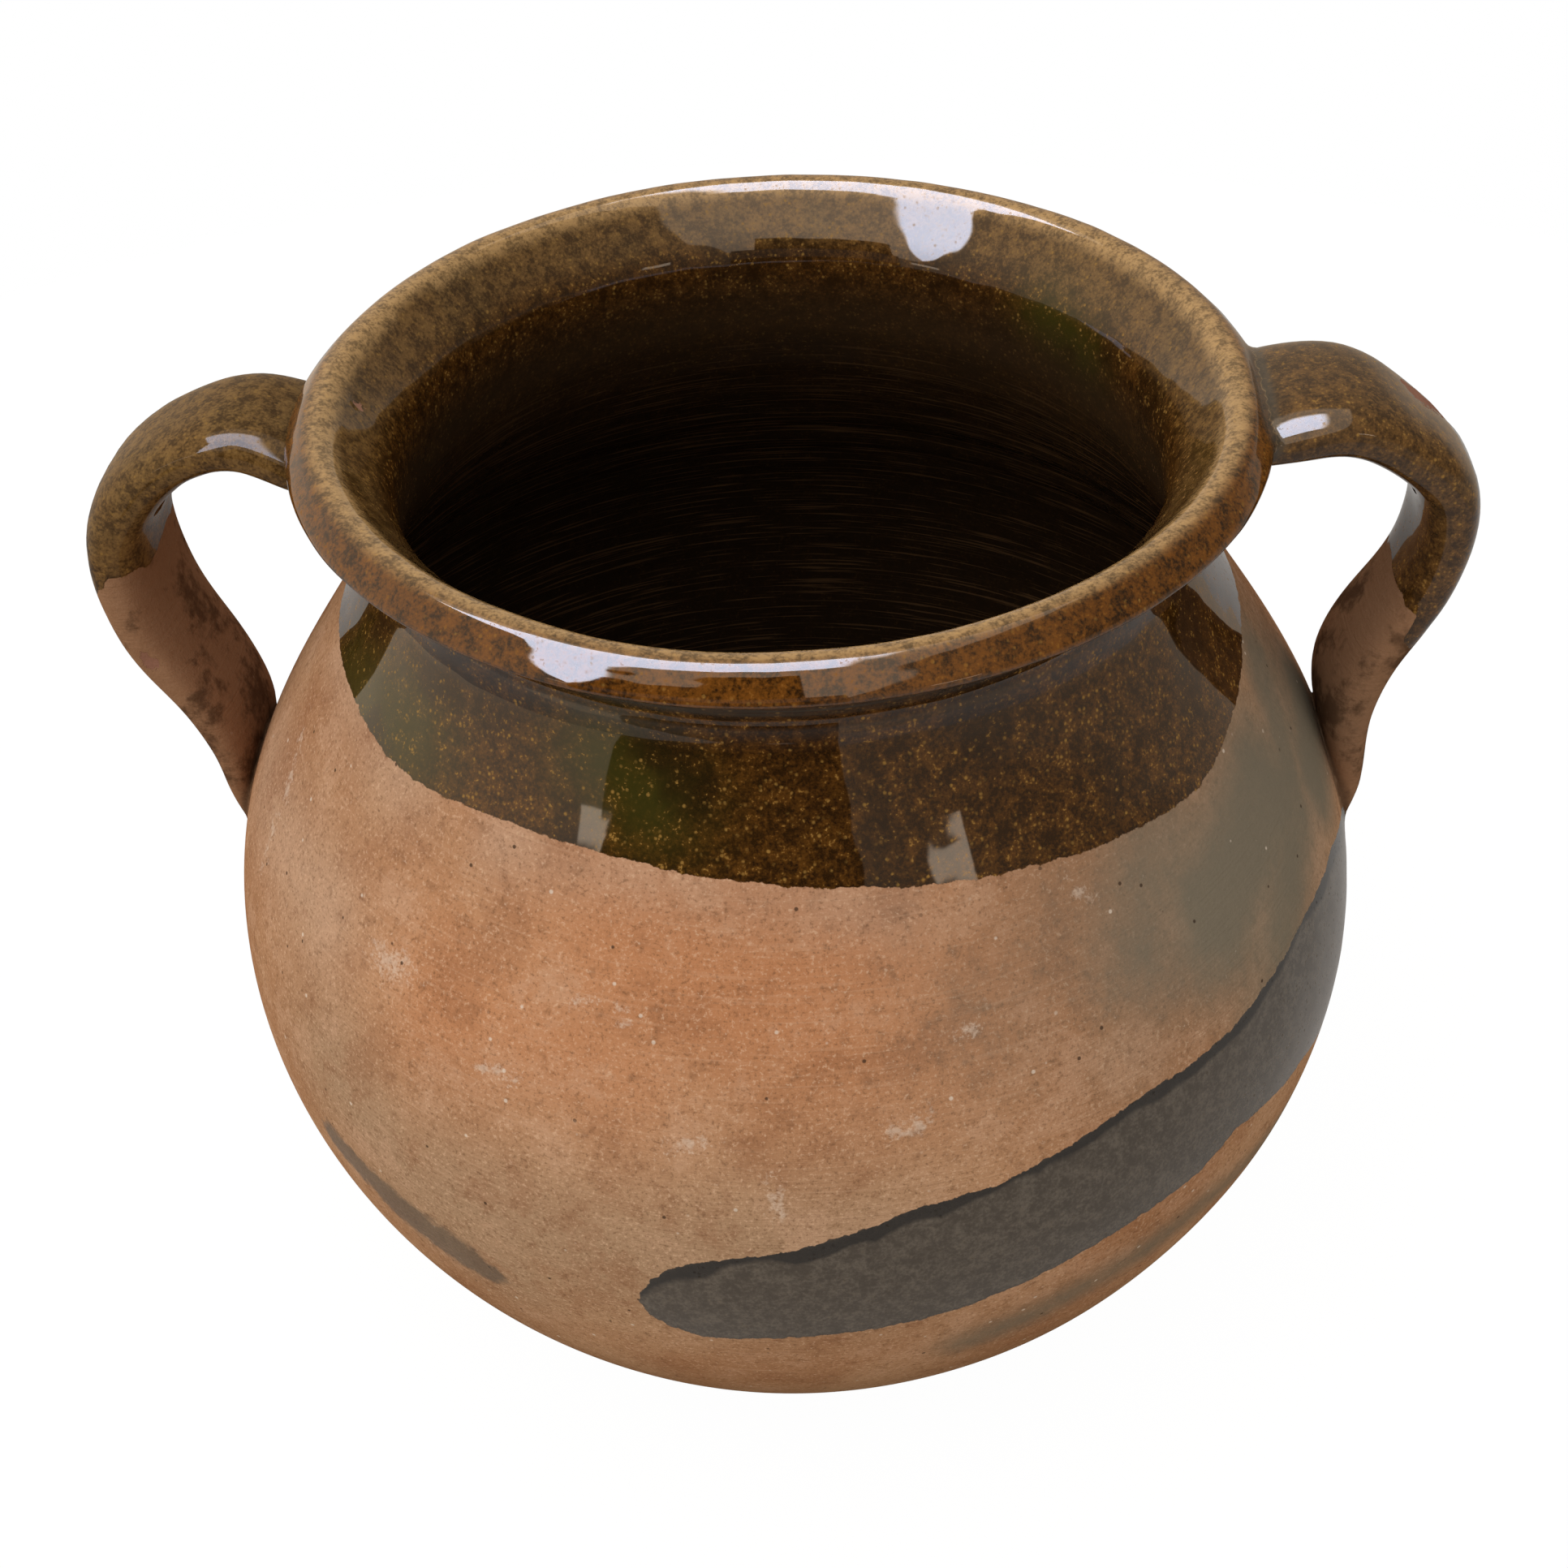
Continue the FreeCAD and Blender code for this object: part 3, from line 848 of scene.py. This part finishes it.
def clay_colour(n, f):
    """Bare fired clay: red to ochre, grained and speckled, smoked grey on its right, and darkened
    towards the bottom by painted shade.
    """
    gap, chance = n.grains(2.2, shift=8.0)
    on_handle = f.strap.step(0.4, 0.6)
    return n.layered(n.blend(tone("clay"), tone("light clay"), f.broad.step(0.3, 0.7)), [
        ("red clay", f.red * 0.7),
        ("ochre clay", f.ochre * 0.85),
        ("pale clay", f.pale * (0.25 + f.fine * 0.5)),
        ("damp patch", (f.patch + f.stir * 0.9).step(0.5, 0.9) * 0.35),
        ("dry patch", (f.patch + f.stir * 1.1).step(0.48, 0.1) * 0.4),
        ("brown speckle", f.fine.step(0.52, 0.74) * 0.42),
        ("light grain", f.grain.step(0.54, 0.72) * 0.5),
        ("dark grain", f.grain.step(0.46, 0.28) * 0.5),
        ("turning line", f.turning.step(0.54, 0.76) * 0.2),
        # Painted shade: the clay darkens towards the bottom.
        ("painted low shade", f.low * 0.85),
        ("smoke", (f.smoke * (0.8 + f.patch * 0.3) + f.stir * 0.22).step(0.04, 0.9) * 0.95),
        ("scuff", (f.scuff + f.stir * 2.6 + f.grit * 1.6).step(0.5, 1.3) * 0.6),
        ("pit", gap.step(0.22, 0.12) * chance.step(0.965, 0.975) * 0.8),
        ("crumb", gap.step(0.24, 0.12) * chance.step(0.03, 0.02) * 0.7),
        ("handle clay", on_handle * 0.85),
        ("handle stain", on_handle * (f.patch + f.stir).step(0.45, 0.8) * 0.65),
        ("chip", f.chipped * (0.5 + f.grain * 0.5)),
    ])


def glaze_colour(n, f):
    """Dark amber-brown glaze: olive in places, flecked, clear on the lip's face, thin and tan at its
    edge and on the handles, nearly black in the run.
    Painted light and shade in it: grey reflections on the neck, along its groove and in the run, a
    sheen on the left handle, and shade that darkens it down inside until it is nearly black."""
    lip_face = f.rim.step(-13, -10) * f.rim.step(1, -3)
    flare = f.rim.step(-1, 3) * f.rim.step(20, 10)
    # On the left handle the tan is raised further: partly worn thin glaze, partly a painted sheen.
    thin = (flare * 0.72).most(f.strap * f.along.step(120, 60) * (0.36 + f.matt * 0.8))
    edge = (f.rim - 1).size().step(5.0, 1.0)
    # The neck's grey band and the lighter line along its groove are painted reflections on the glaze.
    neck = f.rim.step(-32, -28) * f.rim.step(-9, -11) * (1 - f.strap)
    in_run = f.run.step(-1.5, 0.5)
    amber = n.layered(n.blend(tone("deep amber"), tone("amber"), f.mottle.step(0.40, 0.66)), [
        ("olive", f.olive * 0.8),
        ("dark patch", f.patch.step(0.5, 0.8) * 0.6),
        ("fleck", f.flecks * 0.6),
        ("clear amber", lip_face * f.mottle.step(0.36, 0.62) * 0.75),
        ("tan", thin * (0.2 + f.mottle.step(0.38, 0.64) * 0.8)),
        ("lip edge", edge * (0.3 + f.mottle.step(0.38, 0.60) * 0.7) * 0.8),
        ("neck", neck * (0.55 + f.turning.step(0.4, 0.7) * 0.45)),
        ("neck groove", f.groove * 0.6),
    ])
    # The run's grey is its dark glaze with a painted reflection of the floor laid in.
    run = n.blend(tone("run"), tone("thin run with painted reflection"), f.mottle.step(0.40, 0.66))
    return n.layered(n.blend(amber, run, in_run), [
        ("thick run", in_run * (f.run_top + (f.patch - 0.5) * 8).step(3.6, 1.8) * 0.85),
        # Painted shade inside: the glaze darkens below the throat and is nearly black deep down.
        ("painted inner shade", f.inside * (f.rim + f.stir * 12).step(16, 34) * 0.8),
        ("deep inside", f.inside * f.rim.step(50, 110) * 0.5),
        ("inside ring", f.inside * f.rim.step(34, 60) * f.turning.step(0.55, 0.66) * 0.5),
    ])


def gloss_of(f):
    """The gloss of the glaze, duller on its flecks, on a worn handle and deep inside."""
    gloss = f.glaze * (1 - f.flecks * 0.6) * (1 - f.matt)
    gloss = gloss * (1 - f.inside * f.rim.step(12, 26) * 0.75)
    gloss = gloss * (1 - f.inside * f.rim.step(90, 130) * 0.9)
    return gloss.most(f.film * f.bare * 0.35)


def relief_of(f):
    """Heights in millimetres: a rolled glaze edge, pulled lines on the handles' glaze, and
    turning marks and grain on the clay."""
    height = f.border.step(-0.2, 0.9) * 0.28 - f.chipped * 0.12
    height = height + f.glaze * (f.stir * 0.03 + f.strap * f.stir * 0.12)
    return height + f.bare * ((f.turning - 0.5) * 0.16 + f.grit * 0.16 + f.stir * 0.2)


def pot_material():
    """Bare fired clay below, glossy amber-brown glaze above, with runs, specks and wear, and painted
    shade in the joints of the handles.
    """
    material = bpy.data.materials.new("glazed_earthenware")
    n = Nodes(material)
    f = surface_values(n)
    # Darker where a handle meets the wall: on the glaze partly pooled glaze and partly painted shade
    # in the crease, on bare clay painted shade alone.
    pooled_glaze_and_crease_shade = f.seam.step(3.4, 0.6) * f.strap.step(-1, 0.2)
    colour = n.layered(n.blend(clay_colour(n, f), glaze_colour(n, f), f.glaze), [
        ("smear", f.film * 0.7),
        ("pooled glaze", pooled_glaze_and_crease_shade * f.glaze * (0.3 + f.fine * 0.6)),
        ("painted crease shade", pooled_glaze_and_crease_shade * f.bare * 0.6),
    ])
    bump = n.add("ShaderNodeBump", {"Strength": 1.0, "Distance": MM, "Height": relief_of(f)})
    skin_shader = n.add("ShaderNodeBsdfPrincipled", {
        "Base Color": colour,
        "Roughness": 0.55 * f.glaze + (0.80 + f.stir * 0.2) * f.bare,
        "Coat Weight": gloss_of(f),
        "Coat Roughness": 0.035,
        "IOR": 1.5,
        "Specular IOR Level": 0.0,
        "Normal": bump.outputs["Normal"]})
    n.finish("ShaderNodeOutputMaterial", skin_shader.outputs[0])
    return material


def sky_light(n, x, y, z):
    """An even soft sky, brighter overhead and towards the left, with one bright part."""
    east, north, up = BRIGHT_WAY
    even = SKY_LEVEL + z.step(-0.1, 1.0) * SKY_RISE - x * SKY_LEFT
    even = even + (z * up + x * east + y * north).step(0.74, 0.97) * BRIGHT_LEVEL
    colour = n.blend(tone("low sky"), tone("high sky"), z.step(0.3, 0.8))
    return n.add("ShaderNodeBackground", {"Color": colour, "Strength": even})


def mirrored_yard(n, x, y, z):
    """What the glaze mirrors: walls that darken to the right, two small panes low in front,
    and an open roof, with a grey wall seen through its near part."""
    yard = YARD_LEVEL - x * YARD_LEFT + x.step(0.3, 0.9) * z.step(0.25, 0.0) * YARD_CORNER
    front = (-y).most(0.05)
    for side, tall, wide in PANES:
        pane = (x / front - side).size().step(wide, wide - 0.02)
        pane = pane * (z / front - tall).size().step(0.05, 0.04) * (-y).step(0.2, 0.3)
        yard = yard + pane * PANE_LEVEL
    up = z.most(0.02)
    across, ahead = x / up, y / up
    left, right = ROOF_SIDES
    roof = (across - (ahead + 0.2).least(0.0) * ROOF_SLANT).step(left, left + 0.04)
    roof = roof * across.step(right, right - 0.03) * z.step(0.2, 0.3)
    sky = (ahead - (across + 0.4).least(0.0) * 0.9).step(-0.50, -0.45) * ahead.step(0.4, 0.3)
    sky = sky * across.step(0.22, 0.12)
    wall = ahead.step(-2.2, -2.1) * ahead.step(0.6, 0.5)
    yard = yard + roof * (sky * OPEN_SKY_LEVEL + wall * ROOF_WALL_LEVEL)
    colour = n.blend(tone("yard wall"), tone("open roof"), roof * sky)
    return n.add("ShaderNodeBackground", {"Color": colour, "Strength": yard})


def surroundings():
    """White as the camera sees it, the sky for the light, the yard for what the glaze mirrors."""
    world = bpy.data.worlds.new("yard")
    bpy.context.scene.world = world
    world.cycles.sampling_method = "NONE"
    n = Nodes(world)
    way = n.add("ShaderNodeSeparateXYZ", {0: n.add("ShaderNodeTexCoord").outputs["Generated"]})
    x, y, z = (Value(n, way.outputs[place]) for place in range(3))
    ray = n.add("ShaderNodeLightPath")
    plain = n.add("ShaderNodeBackground", {"Color": WHITE})
    shade = sky_light(n, x, y, z)
    for kind, over in (("Is Glossy Ray", mirrored_yard(n, x, y, z)), ("Is Camera Ray", plain)):
        shade = n.add("ShaderNodeMixShader", {
            0: ray.outputs[kind], 1: shade.outputs[0], 2: over.outputs[0]})
    n.finish("ShaderNodeOutputWorld", shade.outputs[0])


def staged(name, corners, material):
    """A flat face that belongs to the staging and not to the pot."""
    mesh = bpy.data.meshes.new(name)
    mesh.from_pydata(corners, [], [tuple(range(len(corners)))])
    mesh.materials.append(material)
    thing = bpy.data.objects.new(name, mesh)
    bpy.context.scene.collection.objects.link(thing)
    material.cycles.emission_sampling = "NONE"
    return thing


def dark_cards():
    """Dark upright cards in front of the pot, which only the glaze mirrors."""
    y = -CARD_DISTANCE
    for name, left, right, low, high, level in DARK_CARDS:
        material = bpy.data.materials.new(name)
        n = Nodes(material)
        dim = n.add("ShaderNodeEmission", {"Color": CARD_TINT, "Strength": level})
        n.finish("ShaderNodeOutputMaterial", dim.outputs[0])
        card = staged(name, [(left, y, low), (right, y, low), (right, y, high), (left, y, high)],
                      material)
        card.visible_camera = card.visible_diffuse = card.visible_shadow = False
        card.visible_transmission = card.visible_volume_scatter = False


def studio_floor():
    """A wide white floor that keeps a faint shadow of the pot."""
    material = bpy.data.materials.new("white_paper")
    n = Nodes(material)
    paper = n.add("ShaderNodeBsdfDiffuse", {"Color": FLOOR_PAPER})
    white = n.add("ShaderNodeEmission", {"Color": WHITE, "Strength": FLOOR_GLOW})
    seen = Value(n, n.add("ShaderNodeLightPath").outputs["Is Camera Ray"])
    mix = n.add("ShaderNodeMixShader", {
        0: seen * FLOOR_GLOW_SHARE, 1: paper.outputs[0], 2: white.outputs[0]})
    n.finish("ShaderNodeOutputMaterial", mix.outputs[0])
    turns = [2 * math.pi * k / FLOOR_SIDES for k in range(FLOOR_SIDES)]
    staged("floor", [(FLOOR_DISC * math.cos(a), FLOOR_DISC * math.sin(a), 0) for a in turns],
           material)


def photographer_view():
    """The camera of the photograph."""
    camera = bpy.data.cameras.new("camera")
    camera.sensor_width = SENSOR_MM
    camera.lens = SENSOR_MM * PHOTO_FOCAL / PHOTO_SIDE
    camera.clip_start = 0.01
    viewer = bpy.data.objects.new("camera", camera)
    viewer.matrix_world = Matrix.Translation(Vector(CAMERA_PLACE) * MM) @ VIEW.to_4x4()
    bpy.context.scene.collection.objects.link(viewer)
    bpy.context.scene.camera = viewer


skin.materials.clear()
skin.materials.append(pot_material())
surroundings()
studio_floor()
dark_cards()
photographer_view()
bpy.context.scene.view_settings.view_transform = "Standard"
bpy.context.scene.cycles.max_bounces = 4
bpy.context.scene.cycles.glossy_bounces = 1

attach(pot, "root")
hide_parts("pot")
